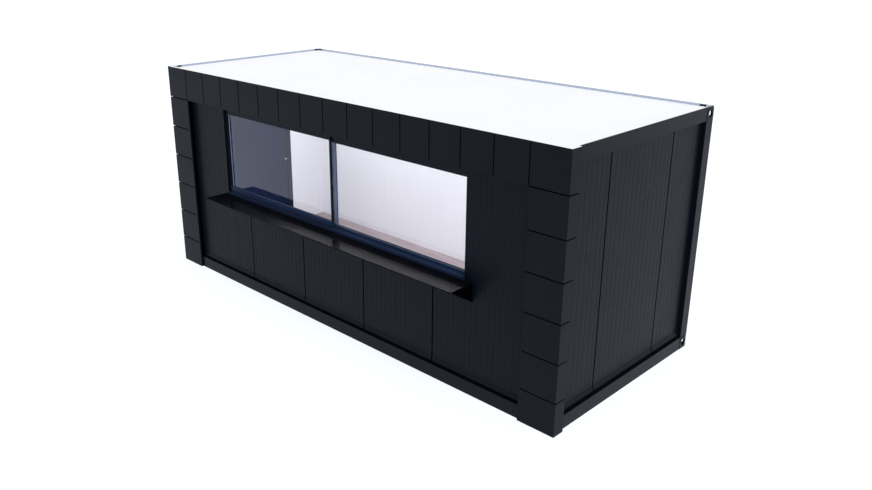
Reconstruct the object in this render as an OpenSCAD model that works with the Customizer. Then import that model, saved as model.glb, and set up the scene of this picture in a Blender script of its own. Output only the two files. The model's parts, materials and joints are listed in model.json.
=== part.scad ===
// Sales container: a six metre cabin on a welded corner-post frame, with a serving window, a counter
// ledge, a clad portal front and a hinged door in its left end. All sizes in millimetres.
// X runs along the length, the front faces -Y, and Z = 0 is the ground.

/* [Frame] */
// Length of the welded frame over its corner castings
frame_l = 6000; // [5000:10:9000]
// Width of the welded frame over its corner castings
frame_w = 2400; // [2200:10:3000]
// Height of the container over its roof rim
frame_h = 2590; // [2500:5:2900]
// Height of a lower corner casting
casting_h = 135; // [118:1:160]
// Wall thickness of a corner casting
casting_wall = 9; // [7:1:14]
// Width of the upright slots in a casting's end and side
casting_slot_w = 66; // [50:1:75]
// Height of the upright slots in a casting's end and side
casting_slot_h = 76; // [68:1:82]
// Length of the slot in a casting's top or bottom face, along X
twistlock_l = 88; // [75:1:98]
// Width of the slot in a casting's top or bottom face, along Y
twistlock_w = 60; // [45:1:70]
// Height of a top rail, from its flange to the top of the roof rim
top_rail_h = 135; // [118:1:180]
// How far the rails and posts lie inside the faces of the castings
rail_inset = 4; // [2:1:8]
// Height of the bottom rails above the ground
rail_lift = 5; // [3:1:12]
// Thickness of the folded rails
rail_t = 5; // [4:0.5:8]
// Width of the flange that a wall panel leaves free for the floor and the roof to bear on
bearing_w = 30; // [20:1:60]
// Width of the bottom flange of a bottom rail
foot_flange_w = 90; // [60:1:110]
// How far the lip of a bottom rail stands above the flange that carries the walls
lip_h = 17; // [10:1:30]
// Wall thickness of a corner post
post_t = 6; // [4:0.5:10]
// Number of joists under the floor
joist_count = 9; // [5:1:15]
// Width of a floor joist
joist_w = 50; // [40:1:80]

/* [Walls, floor and roof] */
// Thickness of a wall panel
panel_t = 75; // [60:1:100]
// How far the outer face of a wall lies behind the frame
panel_recess = 46; // [35:1:60]
// Width of a wall panel on the front and the rear
panel_w = 1000; // [900:10:1200]
// Width of the middle panel of an end wall
end_panel_w = 1060; // [1000:10:1200]
// Number of fine ribs across a panel
ribs_per_panel = 14; // [6:1:20]
// Width of the groove between two fine ribs
groove_w = 20; // [10:1:30]
// Run of the sloping flank on either side of such a groove
groove_flank = 4; // [1:0.5:5]
// Depth of the groove between two fine ribs
groove_d = 1.5; // [0.5:0.1:3]
// Width of the open joint between two panels
panel_joint_w = 12; // [6:0.5:16]
// Depth of the open joint between two panels
panel_joint_d = 20; // [8:1:30]
// Thickness of the floor boards
floor_t = 20; // [15:1:30]
// How far the roof lies below the top of the roof rim
roof_drop = 19; // [12:1:30]
// Thickness of the sheet that covers the roof panel, the rails and the upper castings
roof_sheet_t = 5; // [3:0.5:8]
// Clearance between the roof panel and the rails or castings round it
roof_gap = 3; // [1:0.5:6]
// Height of the cross ribs on the roof
roof_rib_h = 2.5; // [1:0.5:6]
// Width of a cross rib on the roof
roof_rib_w = 26; // [15:1:40]
// Distance between the cross ribs on the roof
roof_rib_pitch = 100; // [60:5:300]
// Width of the roof rim
rim_w = 18; // [14:1:40]
// Thickness of the capping that runs out from the rim over the cladding
cap_t = 3; // [2:0.5:4]
// Length of a drain opening in the roof rim
drain_l = 46; // [30:1:60]
// Height of a drain opening in the roof rim
drain_h = 14; // [8:1:15]
// Depth of a drain opening in the roof rim
drain_d = 13; // [8:1:13]
// Distance from the middle of a drain opening to the end of the frame
drain_x = 87; // [60:1:120]

/* [Window] */
// Width of the window opening
window_w = 3840; // [2000:10:4200]
// How far the middle of the window opening lies to the right of the container's middle
window_x = -22; // [-100:1:100]
// Height of the window opening
window_h = 1019; // [800:1:1025]
// Height of the wall above the window opening
lintel_h = 270; // [250:1:300]
// How far the window frame lies behind the face of the wall
window_setback = 57; // [45:1:65]
// Depth of the window frame
window_depth = 50; // [40:1:70]
// Width of the frame's stiles and head
window_stile = 40; // [30:1:48]
// Height of the frame's bottom bar
window_bar = 28; // [22:1:40]
// Width of the frame's middle bar, which stands behind the fixed glass
mullion_w = 50; // [40:1:70]
// Height of the sliding sash's top and bottom bars
sash_bar = 52; // [40:1:70]
// Width of the sliding sash's stiles
sash_stile = 18; // [14:1:30]
// Depth of the sliding sash
sash_depth = 26; // [20:1:30]
// Clearance between the sliding sash and the head or the jamb
sash_clearance = 3; // [2:0.5:6]
// Height of the sliding sash above the sill
sash_lift = 14; // [4:1:18]
// How far the sash's glass lies in front of its back
sash_rebate = 2; // [1:0.5:4]
// Thickness of the glass
glass_t = 6; // [4:1:12]

/* [Counter ledge] */
// How far the counter ledge reaches past the window opening at each end
ledge_overhang = 80; // [0:5:150]
// Depth of the counter ledge from the wall
ledge_d = 300; // [200:5:400]
// How far the counter ledge lies below the window opening
ledge_below = 28; // [20:1:100]
// Height of the ledge where it meets the wall
ledge_drop = 189; // [100:1:250]
// Thickness of the ledge's folded sheet
ledge_t = 4; // [3:0.5:6]
// Thickness of the plates that close the ledge's ends
ledge_plate_t = 3; // [2:0.5:5]

/* [Cladding] */
// How far the cladding stands proud of the frame
clad_t = 20; // [15:1:30]
// Number of fascia cassettes between the two corner cassettes
fascia_count = 14; // [10:1:18]
// Width of a column of corner cassettes, seen from the front
column_w = 402; // [300:1:450]
// Number of cassettes in a column
column_rows = 7; // [5:1:9]
// Height of the lowest cassette of a column
plinth_h = 334; // [250:1:400]
// Width of the trim along the inner edge of the cladding
trim_w = 13; // [8:1:25]
// Width of the open joint between two cassettes
clad_gap = 12; // [5:0.5:16]
// How far the corner cassettes reach round the ends
clad_return = 140; // [100:1:180]
// Thickness of the cassettes' sheet
clad_sheet = 2; // [1.5:0.5:4]
// Width of the battens that carry the cladding
batten_w = 50; // [30:1:70]

/* [Door] */
// Width of the door frame
door_w = 1040; // [900:10:1060]
// Height of the wall above the door frame
door_lintel = 260; // [150:5:350]
// Face width of the door frame
door_jamb = 40; // [30:1:60]
// Depth of the stop behind the door leaf
door_stop = 15; // [10:1:25]
// Thickness of the door leaf
leaf_t = 45; // [40:1:60]
// How far the door leaf stands proud of the wall
leaf_proud = 6; // [3:1:12]
// Clearance round the door leaf
leaf_gap = 5; // [5:0.5:8]
// Height of the threshold above the flange that carries the walls
threshold_h = 19; // [17:1:25]
// Height of the door handle above the ground
handle_z = 1117; // [950:1:1250]
// Distance from the door handle to the edge of the leaf
handle_edge = 55; // [50:1:100]
// Radius of the rose behind the door handle
rose_r = 26; // [20:1:32]
// Thickness of the rose behind the door handle
rose_t = 8; // [5:1:12]
// Radius of the neck that carries the lever
neck_r = 10; // [7:1:12]
// How far the lever stands out from the door
lever_reach = 50; // [40:1:65]
// Length of the lever
lever_l = 125; // [100:1:140]
// Height of the lever
lever_h = 18; // [14:1:22]
// Thickness of the lever
lever_t = 12; // [9:1:16]
// Distance from the outer hinges to the ends of the leaf
hinge_end = 250; // [150:5:400]
// Width of a hinge plate
hinge_plate_w = 30; // [25:1:38]
// Thickness of a hinge plate
hinge_plate_t = 3; // [2:0.5:5]
// Radius of a hinge pin
pin_r = 6; // [4:0.5:8]
// Radius of a hinge knuckle
knuckle_r = 10; // [8:0.5:12]
// Length of one hinge knuckle
knuckle_l = 50; // [30:1:70]
// Gap between the two knuckles of a hinge
knuckle_gap = 0.5; // [0.2:0.1:2]
// Clearance round a hinge pin
pin_clearance = 0.05; // [0.02:0.01:0.3]

/* [Hidden] */
$fn = 48;
// A cut runs this far past the face that it opens
cut = 1;

// Frame planes, with the whole container centred over the origin between its ledge and its rear
depth = frame_w - panel_recess + ledge_d;
y_rear = depth / 2;
y_front = y_rear - frame_w;
y_mid = (y_front + y_rear) / 2;
x_end = frame_l / 2;
// Rail heights
flange_z = casting_h;
lip_z = flange_z + lip_h;
head_z = frame_h - top_rail_h;
roof_top = frame_h - roof_drop;
sheet_z = roof_top - roof_sheet_t;
post_w = panel_recess + panel_t - rail_inset;
flange_w = post_w + bearing_w;
// Side of a casting in plan, level with the inner faces of the posts
casting_w = rail_inset + post_w;
// Wall planes
wall_y = y_front + panel_recess;
wall_x = x_end - panel_recess;
inner_y = wall_y + panel_t;
inner_x = wall_x - panel_t;
wall_h = head_z - flange_z;
floor_z = flange_z + floor_t;
roof_z = head_z + rail_t;
// Window planes
window_head = head_z - lintel_h;
window_sill = window_head - window_h;
frame_y = wall_y + window_setback;
window_left = window_x - window_w / 2;
window_right = window_x + window_w / 2;
pane_y = frame_y + window_depth / 2;
sash_y = frame_y - sash_depth;
sash_left = window_left + sash_clearance;
sash_right = window_x + sash_stile / 2;
sash_z0 = window_sill + sash_lift;
sash_z1 = window_head - sash_clearance;
// Ledge planes
ledge_l = window_w + 2 * ledge_overhang;
ledge_top = window_sill - ledge_below;
// Cladding planes
clad_y = y_front - clad_t;
clad_x = x_end + clad_t;
clad_top = frame_h - cap_t;
corner_x = clad_x - column_w;
cassette_w = 2 * corner_x / fascia_count;
cassette_h = (clad_top - plinth_h) / (column_rows - 1);
fascia_z = clad_top - cassette_h;
// Door planes
door_h = wall_h - door_lintel;
door_y = y_mid - door_w / 2;
leaf_x = -wall_x - leaf_proud;
leaf_y0 = door_y + door_jamb + leaf_gap;
leaf_y1 = door_y + door_w - door_jamb - leaf_gap;
leaf_z0 = flange_z + threshold_h + leaf_gap;
leaf_z1 = flange_z + door_h - door_jamb - leaf_gap;
hinge_x = leaf_x - knuckle_r;
hinge_y = leaf_y0 - leaf_gap / 2;
hinge_rows = [leaf_z0 + hinge_end, (leaf_z0 + leaf_z1) / 2, leaf_z1 - hinge_end];

anthracite = [0.12, 0.13, 0.15];
charcoal = [0.16, 0.17, 0.19];
white = [0.92, 0.92, 0.94];
navy = [0.09, 0.12, 0.2];
glass_tint = [0.75, 0.8, 0.88, 0.35];
laminate = [0.72, 0.64, 0.62];
steel = [0.6, 0.62, 0.65];

// An upright box between two corners
module span(low, high) {
    translate(low)
        cube(high - low);
}

// A slot with round ends, centred, cut along Z: length along X
module slot_cut(length, width, thickness) {
    reach = (length - width) / 2;
    for (side = [-1, 1])
        translate([side * reach, 0, 0])
            cylinder(d = width, h = thickness, center = true);
    cube([length - width, width, thickness], center = true);
}

// A hollow corner casting of some height in the corner at the origin, reaching to +X, +Y and +Z, with the
// slots in its faces centred on slot_z
module casting(height, slot_z) {
    inner = [casting_w, casting_w, height] - 2 * casting_wall * [1, 1, 1];
    face_cut = 2 * (casting_wall + cut);
    difference() {
        cube([casting_w, casting_w, height]);
        translate(casting_wall * [1, 1, 1])
            cube(inner);
        translate([casting_w / 2, casting_w / 2, 0])
            slot_cut(twistlock_l, twistlock_w, face_cut);
        translate([0, casting_w / 2, slot_z])
            rotate([0, 90, 0])
                slot_cut(casting_slot_h, casting_slot_w, face_cut);
        translate([casting_w / 2, 0, slot_z])
            rotate([90, 90, 0])
                slot_cut(casting_slot_h, casting_slot_w, face_cut);
    }
}

// Places a child that is drawn in the front left lower corner in all four corners
module each_corner() {
    translate([0, y_mid, 0])
        for (flip_x = [0, 1], flip_y = [0, 1])
            mirror([flip_x, 0, 0])
                mirror([0, flip_y, 0])
                    translate([-x_end, -frame_w / 2, 0])
                        children();
}

module lower_corner_castings() {
    color(anthracite)
        each_corner()
            casting(casting_h, casting_h / 2);
}

module upper_corner_castings() {
    color(anthracite)
        each_corner()
            translate([0, 0, sheet_z])
                mirror([0, 0, 1])
                    casting(sheet_z - head_z, casting_wall + casting_slot_h / 2);
}

module corner_posts() {
    bore = post_w - 2 * post_t;
    color(anthracite)
        each_corner()
            translate([rail_inset, rail_inset, casting_h])
                difference() {
                    cube([post_w, post_w, wall_h]);
                    translate([post_t, post_t, -cut])
                        cube([bore, bore, wall_h + 2 * cut]);
                }
}

// Sections of the rails: the first coordinate runs inwards from the rail's outer face, the second upwards.
// The web of a bottom rail has a lip and a foot flange.
module bottom_web() {
    translate([0, rail_lift])
        square([rail_t, lip_z - rail_lift]);
    translate([0, rail_lift])
        square([foot_flange_w, rail_t]);
}

// Flange that carries the walls and the floor
module bottom_flange() {
    translate([0, flange_z - rail_t])
        square([flange_w, rail_t]);
}

module top_web() {
    translate([0, head_z])
        square([rail_t, sheet_z - head_z]);
}

// Flange that holds down the walls and carries the roof
module top_flange() {
    translate([0, head_z])
        square([flange_w, rail_t]);
}

// Runs a section along the front, from casting to casting, inset from the faces of the castings
module along_front() {
    run = frame_l - 2 * casting_w;
    translate([-run / 2, y_front + rail_inset, 0])
        rotate([90, 0, 90])
            linear_extrude(run)
                children();
}

// Runs a section along the left end, stopping short of the frame's front and rear faces
module along_left(short) {
    run = frame_w - 2 * short;
    translate([-x_end + rail_inset, y_mid + run / 2, 0])
        rotate([90, 0, 0])
            linear_extrude(run)
                children();
}

// A rail along the left end: its web runs between the castings, its flange between the long flanges
module left_rail() {
    along_left(casting_w)
        children(0);
    along_left(rail_inset + flange_w)
        children(1);
}

// Turns the front into the rear about the frame's middle plane
module to_rear() {
    translate([0, 2 * y_mid, 0])
        mirror([0, 1, 0])
            children();
}

module front_bottom_rail() {
    color(anthracite)
        along_front() {
            bottom_web();
            bottom_flange();
        }
}

module rear_bottom_rail() {
    color(anthracite)
        to_rear()
            along_front() {
                bottom_web();
                bottom_flange();
            }
}

module left_bottom_rail() {
    color(anthracite)
        left_rail() {
            bottom_web();
            bottom_flange();
        }
}

module right_bottom_rail() {
    color(anthracite)
        mirror([1, 0, 0])
            left_rail() {
                bottom_web();
                bottom_flange();
            }
}

module front_top_rail() {
    color(anthracite)
        along_front() {
            top_web();
            top_flange();
        }
}

module rear_top_rail() {
    color(anthracite)
        to_rear()
            along_front() {
                top_web();
                top_flange();
            }
}

module left_top_rail() {
    color(anthracite)
        left_rail() {
            top_web();
            top_flange();
        }
}

module right_top_rail() {
    color(anthracite)
        mirror([1, 0, 0])
            left_rail() {
                top_web();
                top_flange();
            }
}

// Joists between the webs of the long rails, stepped at their ends to pass under the rail flanges
module floor_joists() {
    reach = frame_w / 2 - rail_inset;
    pitch = (frame_l - 2 * casting_w) / joist_count;
    low = rail_lift + rail_t;
    color(charcoal)
        translate([0, y_mid, 0])
            for (i = [0:joist_count - 1])
                translate([(i - (joist_count - 1) / 2) * pitch - joist_w / 2, 0, 0]) {
                    span([0, rail_t - reach, low], [joist_w, reach - rail_t, flange_z - rail_t]);
                    span([0, flange_w - reach, low], [joist_w, reach - flange_w, flange_z]);
                }
}

module floor_deck() {
    color(laminate)
        span([-inner_x, inner_y, flange_z], [inner_x, 2 * y_mid - inner_y, floor_z]);
}

// One groove in the outline of a panel's outer face, centred on s
function groove(s, w, d, slope) =
    [[s - w / 2, 0], [s - w / 2 + slope, d], [s + w / 2 - slope, d], [s + w / 2, 0]];

// Outline of a length of ribbed wall from s0 to s1. Grooves lie a rib pitch apart from the datum, and
// each groove where two panels meet is an open joint.
function wall_outline(s0, s1, datum, width) =
    let (pitch = width / ribs_per_panel)
    let (first = ceil((s0 + groove_w - datum) / pitch))
    let (last = floor((s1 - groove_w - datum) / pitch))
    concat(
        [[s0, panel_t], [s0, 0]],
        [for (n = [first:last], p = n % ribs_per_panel == 0
            ? groove(datum + n * pitch, panel_joint_w, panel_joint_d, 0)
            : groove(datum + n * pitch, groove_w, groove_d, groove_flank)) p],
        [[s1, 0], [s1, panel_t]]
    );

// A length of the front wall, between two heights
module front_length(x0, x1, z0, z1) {
    translate([0, wall_y, z0])
        linear_extrude(z1 - z0)
            polygon(wall_outline(x0, x1, panel_w / 2, panel_w));
}

// A length of the right end wall between two distances from the middle, and two heights
module end_length(s0, s1, z0, z1) {
    translate([wall_x, y_mid, z0])
        rotate([0, 0, 90])
            linear_extrude(z1 - z0)
                polygon(wall_outline(s0, s1, end_panel_w / 2, end_panel_w));
}

module front_wall_left() {
    color(anthracite)
        front_length(-inner_x, window_left, flange_z, head_z);
}

module front_wall_right() {
    color(anthracite)
        front_length(window_right, inner_x, flange_z, head_z);
}

module front_wall_below() {
    color(anthracite)
        front_length(window_left, window_right, flange_z, window_sill);
}

module front_wall_above() {
    color(anthracite)
        front_length(window_left, window_right, window_head, head_z);
}

module rear_wall() {
    color(anthracite)
        to_rear()
            front_length(-inner_x, inner_x, flange_z, head_z);
}

module right_wall() {
    reach = y_mid - inner_y;
    color(anthracite)
        end_length(-reach, reach, flange_z, head_z);
}

module left_wall_front() {
    color(anthracite)
        mirror([1, 0, 0])
            end_length(inner_y - y_mid, -door_w / 2, flange_z, head_z);
}

module left_wall_rear() {
    color(anthracite)
        mirror([1, 0, 0])
            end_length(door_w / 2, y_mid - inner_y, flange_z, head_z);
}

module left_wall_above() {
    color(anthracite)
        mirror([1, 0, 0])
            end_length(-door_w / 2, door_w / 2, flange_z + door_h, head_z);
}

// Outline of the roof sheet along X, with cross ribs on its top
function roof_outline(half) =
    let (last = floor((half - roof_rib_w) / roof_rib_pitch))
    concat(
        [[-half, sheet_z], [-half, roof_top]],
        [for (n = [-last:last], p = groove(n * roof_rib_pitch, roof_rib_w, roof_rib_h, groove_flank))
            [p.x, roof_top + p.y]],
        [[half, roof_top], [half, sheet_z]]
    );

// Roof panel on the flanges of the top rails, notched round the castings, under a ribbed sheet that
// also covers the rails and the castings
module roof_panel() {
    half_l = x_end - rail_inset;
    half_w = frame_w / 2 - rail_inset;
    clear = rail_t + roof_gap;
    rib_l = half_w - rim_w - roof_gap;
    notch_x = x_end - casting_w - roof_gap;
    notch_y = frame_w / 2 - casting_w - roof_gap;
    color(white)
        translate([0, y_mid, 0]) {
            span([-half_l, -half_w, sheet_z], [half_l, half_w, roof_top]);
            translate([0, rib_l, 0])
                rotate([90, 0, 0])
                    linear_extrude(2 * rib_l)
                        polygon(roof_outline(half_l - rim_w - roof_gap));
            span([clear - half_l, -notch_y, roof_z], [half_l - clear, notch_y, roof_top]);
            span([-notch_x, clear - half_w, roof_z], [notch_x, half_w - clear, roof_top]);
        }
}

// Rim round the roof, with a drain opening each way from every corner, and the capping over the cladding
module roof_rim() {
    half_l = x_end - rail_inset;
    half_w = frame_w / 2 - rail_inset;
    in_l = half_l - rim_w;
    in_w = half_w - rim_w;
    drain_top = roof_top + drain_h;
    color(white) {
        translate([0, y_mid, 0])
            difference() {
                span([-half_l, -half_w, roof_top], [half_l, half_w, frame_h]);
                span([-in_l, -in_w, roof_top - cut], [in_l, in_w, frame_h + cut]);
                for (flip_x = [0, 1], flip_y = [0, 1])
                    mirror([flip_x, 0, 0])
                        mirror([0, flip_y, 0]) {
                            translate([0, frame_w / 2 - drain_x - drain_l / 2, 0])
                                span([in_l - cut, 0, roof_top - cut], [in_l + drain_d, drain_l, drain_top]);
                            translate([x_end - drain_x - drain_l / 2, 0, 0])
                                span([0, in_w - cut, roof_top - cut], [drain_l, in_w + drain_d, drain_top]);
                        }
            }
        span([-clad_x, clad_y, clad_top], [clad_x, y_front + rail_inset + rim_w, frame_h]);
        for (side = [0, 1])
            mirror([side, 0, 0])
                span([in_l, clad_y, clad_top], [clad_x, clad_y + clad_return, frame_h]);
    }
}

// A folded cassette between two corners, open at its back
module cassette(low, high) {
    difference() {
        span(low, high);
        span(low + clad_sheet * [1, 1, 1], [high.x - clad_sheet, high.y + cut, high.z - clad_sheet]);
    }
}

// A folded cassette that wraps round the right front corner from x0, open at its back
module corner_cassette(x0, z0, z1) {
    y1 = clad_y + clad_return;
    difference() {
        union() {
            span([x0, clad_y, z0], [clad_x, y_front, z1]);
            span([x_end, clad_y, z0], [clad_x, y1, z1]);
        }
        span([x0 + clad_sheet, clad_y + clad_sheet, z0 + clad_sheet],
            [clad_x - clad_sheet, y_front + cut, z1 - clad_sheet]);
        span([x_end - cut, clad_y + clad_sheet, z0 + clad_sheet],
            [clad_x - clad_sheet, y1 - clad_sheet, z1 - clad_sheet]);
    }
}

module fascia_cassettes() {
    color(anthracite)
        for (i = [0:fascia_count - 1])
            translate([(i - fascia_count / 2) * cassette_w, 0, 0])
                cassette([clad_gap / 2, clad_y, fascia_z + trim_w],
                    [cassette_w - clad_gap / 2, y_front, clad_top]);
}

// The corner cassettes of one column, from the fascia's row down to the ground. Below the fascia they
// start behind the trim.
module column() {
    for (i = [0:column_rows - 1]) {
        x0 = i == 0 ? corner_x + clad_gap / 2 : corner_x + trim_w;
        z0 = i == column_rows - 1 ? 0 : clad_top - (i + 1) * cassette_h + clad_gap / 2;
        z1 = i == 0 ? clad_top : clad_top - i * cassette_h - clad_gap / 2;
        corner_cassette(x0, z0, z1);
    }
}

module left_column_cassettes() {
    color(anthracite)
        mirror([1, 0, 0])
            column();
}

module right_column_cassettes() {
    color(anthracite)
        column();
}

// Folded trim along the lower edge of the fascia and the inner edges of the columns
module portal_trim() {
    color(anthracite) {
        cassette([-corner_x, clad_y, fascia_z], [corner_x, y_front, fascia_z + trim_w]);
        for (side = [0, 1])
            mirror([side, 0, 0])
                cassette([corner_x, clad_y, 0], [corner_x + trim_w, y_front, fascia_z]);
    }
}

// Battens between the front wall and the inner edges of the columns, from rail to rail
module column_battens() {
    x0 = corner_x + clad_gap;
    color(charcoal)
        for (side = [0, 1])
            mirror([side, 0, 0])
                span([x0, y_front, lip_z], [x0 + batten_w, wall_y, head_z]);
}

// Batten between the front wall and the lower edge of the fascia
module fascia_batten() {
    reach = corner_x + clad_gap;
    z0 = fascia_z + clad_gap;
    color(charcoal)
        span([-reach, y_front, z0], [reach, wall_y, z0 + batten_w]);
}

// Fixed frame of the sliding window, with a middle bar behind the edge of the fixed glass
module window_frame() {
    y1 = frame_y + window_depth;
    color(navy) {
        difference() {
            span([window_left, frame_y, window_sill], [window_right, y1, window_head]);
            span([window_left + window_stile, frame_y - cut, window_sill + window_bar],
                [window_right - window_stile, y1 + cut, window_head - window_stile]);
        }
        span([window_x - mullion_w / 2, pane_y + glass_t, window_sill],
            [window_x + mullion_w / 2, y1, window_head]);
    }
}

module fixed_glass() {
    color(glass_tint)
        span([window_x - mullion_w / 2, pane_y, window_sill + window_bar],
            [window_right - window_stile, pane_y + glass_t, window_head - window_stile]);
}

// Sash that slides in front of the fixed frame, drawn closed
module sliding_sash() {
    color(navy)
        difference() {
            span([sash_left, sash_y, sash_z0], [sash_right, frame_y, sash_z1]);
            span([sash_left + sash_stile, sash_y - cut, sash_z0 + sash_bar],
                [sash_right - sash_stile, frame_y + cut, sash_z1 - sash_bar]);
        }
}

module sash_glass() {
    y1 = frame_y - sash_rebate;
    color(glass_tint)
        span([sash_left + sash_stile, y1 - glass_t, sash_z0 + sash_bar],
            [sash_right - sash_stile, y1, sash_z1 - sash_bar]);
}

// Triangular section of the ledge: the first coordinate runs out from the wall, the second upwards
module ledge_section() {
    polygon([[0, ledge_top], [ledge_d, ledge_top], [0, ledge_top - ledge_drop]]);
}

// Runs a section out from the front wall over a length along X
module along_ledge(x0, x1) {
    translate([x0, wall_y, 0])
        rotate([90, 0, 90])
            linear_extrude(x1 - x0)
                mirror([1, 0])
                    children();
}

// Folded sheet: a level top and a soffit that runs back down to the wall
module counter_ledge() {
    slope = ledge_d / ledge_drop;
    slant = ledge_t * sqrt(1 + slope * slope);
    reach = ledge_l / 2 - ledge_plate_t;
    color(charcoal)
        along_ledge(-reach, reach)
            difference() {
                ledge_section();
                polygon([[-cut, ledge_top - ledge_t],
                    [ledge_d - slant - ledge_t * slope, ledge_top - ledge_t],
                    [-cut, ledge_top - ledge_drop + (slant - cut) / slope]]);
            }
}

module ledge_end_plates() {
    color(charcoal)
        for (side = [0, 1])
            mirror([side, 0, 0])
                along_ledge(ledge_l / 2 - ledge_plate_t, ledge_l / 2)
                    ledge_section();
}

// Door frame round three sides, with a stop behind the leaf
module door_frame() {
    y1 = door_y + door_w;
    z1 = flange_z + door_h;
    stop_x = leaf_x + leaf_t + leaf_gap;
    lining = door_jamb + door_stop;
    color(anthracite)
        difference() {
            span([leaf_x, door_y, flange_z], [-inner_x, y1, z1]);
            span([leaf_x - cut, door_y + door_jamb, flange_z - cut],
                [stop_x, y1 - door_jamb, z1 - door_jamb]);
            span([stop_x - cut, door_y + lining, flange_z - cut],
                [cut - inner_x, y1 - lining, z1 - lining]);
        }
}

module door_threshold() {
    lining = door_jamb + door_stop;
    color(steel)
        span([-wall_x, door_y + lining, flange_z],
            [-inner_x, door_y + door_w - lining, flange_z + threshold_h]);
}

module door_leaf() {
    color(anthracite)
        span([leaf_x, leaf_y0, leaf_z0], [leaf_x + leaf_t, leaf_y1, leaf_z1]);
}

// Lower halves of the hinges, on the frame: plate, knuckle and pin
module frame_hinge_halves() {
    color(steel)
        for (z = hinge_rows) {
            translate([hinge_x, hinge_y, z - knuckle_l])
                cylinder(r = knuckle_r, h = knuckle_l);
            translate([hinge_x, hinge_y, z - cut])
                cylinder(r = pin_r, h = knuckle_l + cut);
            span([leaf_x - hinge_plate_t, hinge_y - hinge_plate_w, z - knuckle_l],
                [leaf_x, hinge_y - leaf_gap / 2, z]);
        }
}

// Upper halves of the hinges, on the leaf: plate and bored knuckle
module leaf_hinge_halves() {
    color(steel)
        for (z = hinge_rows)
            translate([0, 0, z + knuckle_gap])
                difference() {
                    union() {
                        translate([hinge_x, hinge_y, 0])
                            cylinder(r = knuckle_r, h = knuckle_l);
                        span([leaf_x - hinge_plate_t, hinge_y + leaf_gap / 2, 0],
                            [leaf_x, hinge_y + hinge_plate_w, knuckle_l]);
                    }
                    translate([hinge_x, hinge_y, -cut])
                        cylinder(r = pin_r + pin_clearance, h = knuckle_l + 2 * cut);
                }
}

// Lever handle with its rose, on a face whose normal is +Z, the lever along -X
module lever() {
    cylinder(r = rose_r, h = rose_t);
    cylinder(r = neck_r, h = lever_reach);
    translate([-lever_l, -lever_h / 2, lever_reach - lever_t])
        cube([lever_l, lever_h, lever_t]);
}

module door_handles() {
    y = leaf_y1 - handle_edge;
    color(steel) {
        translate([leaf_x, y, handle_z])
            rotate([0, -90, 0])
                rotate([0, 0, -90])
                    mirror([1, 0, 0])
                        lever();
        translate([leaf_x + leaf_t, y, handle_z])
            rotate([0, 90, 0])
                rotate([0, 0, -90])
                    mirror([1, 0, 0])
                        lever();
    }
}

lower_corner_castings();
upper_corner_castings();
corner_posts();
front_bottom_rail();
rear_bottom_rail();
left_bottom_rail();
right_bottom_rail();
front_top_rail();
rear_top_rail();
left_top_rail();
right_top_rail();
floor_joists();
floor_deck();
front_wall_left();
front_wall_right();
front_wall_below();
front_wall_above();
rear_wall();
right_wall();
left_wall_front();
left_wall_rear();
left_wall_above();
roof_panel();
roof_rim();
fascia_cassettes();
left_column_cassettes();
right_column_cassettes();
portal_trim();
column_battens();
fascia_batten();
window_frame();
fixed_glass();
sliding_sash();
sash_glass();
counter_ledge();
ledge_end_plates();
door_frame();
door_threshold();
frame_hinge_halves();
door_leaf();
leaf_hinge_halves();
door_handles();
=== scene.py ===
import json
import math

import bmesh
import bpy
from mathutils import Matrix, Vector


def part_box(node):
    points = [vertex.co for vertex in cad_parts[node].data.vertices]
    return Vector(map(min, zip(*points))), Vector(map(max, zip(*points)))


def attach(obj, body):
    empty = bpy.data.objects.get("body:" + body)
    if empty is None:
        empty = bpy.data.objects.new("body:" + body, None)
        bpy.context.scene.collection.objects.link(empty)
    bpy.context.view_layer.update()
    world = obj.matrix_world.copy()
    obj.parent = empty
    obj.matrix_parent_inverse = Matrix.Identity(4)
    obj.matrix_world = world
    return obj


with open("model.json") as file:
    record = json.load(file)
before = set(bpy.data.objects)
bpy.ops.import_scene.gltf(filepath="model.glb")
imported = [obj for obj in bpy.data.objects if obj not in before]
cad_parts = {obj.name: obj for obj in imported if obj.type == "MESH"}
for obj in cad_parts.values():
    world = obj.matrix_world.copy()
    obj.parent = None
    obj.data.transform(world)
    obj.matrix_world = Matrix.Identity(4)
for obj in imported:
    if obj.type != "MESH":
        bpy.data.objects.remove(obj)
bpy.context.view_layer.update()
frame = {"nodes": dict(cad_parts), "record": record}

CABIN = "cabin"
DOOR = "door"
nodes = frame["nodes"]
scene = bpy.context.scene

# All lengths are in metres. The floor's boards and their material share one layout
BOARD_LENGTH, BOARD_WIDTH, BOARD_THICK = 1.285, 0.192, 0.002
BOARD_STAGGER = 0.37


# Materials

NOISE_LOW, NOISE_HIGH = 0.3, 0.7    # a noise texture's values lie mostly between these
COLOUR_A, COLOUR_B, COLOUR_OUT = 6, 7, 2    # colour sockets of a Mix node


def shade(colour, factor):
    """A colour made darker or lighter."""
    return tuple(c * factor for c in colour)


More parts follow.
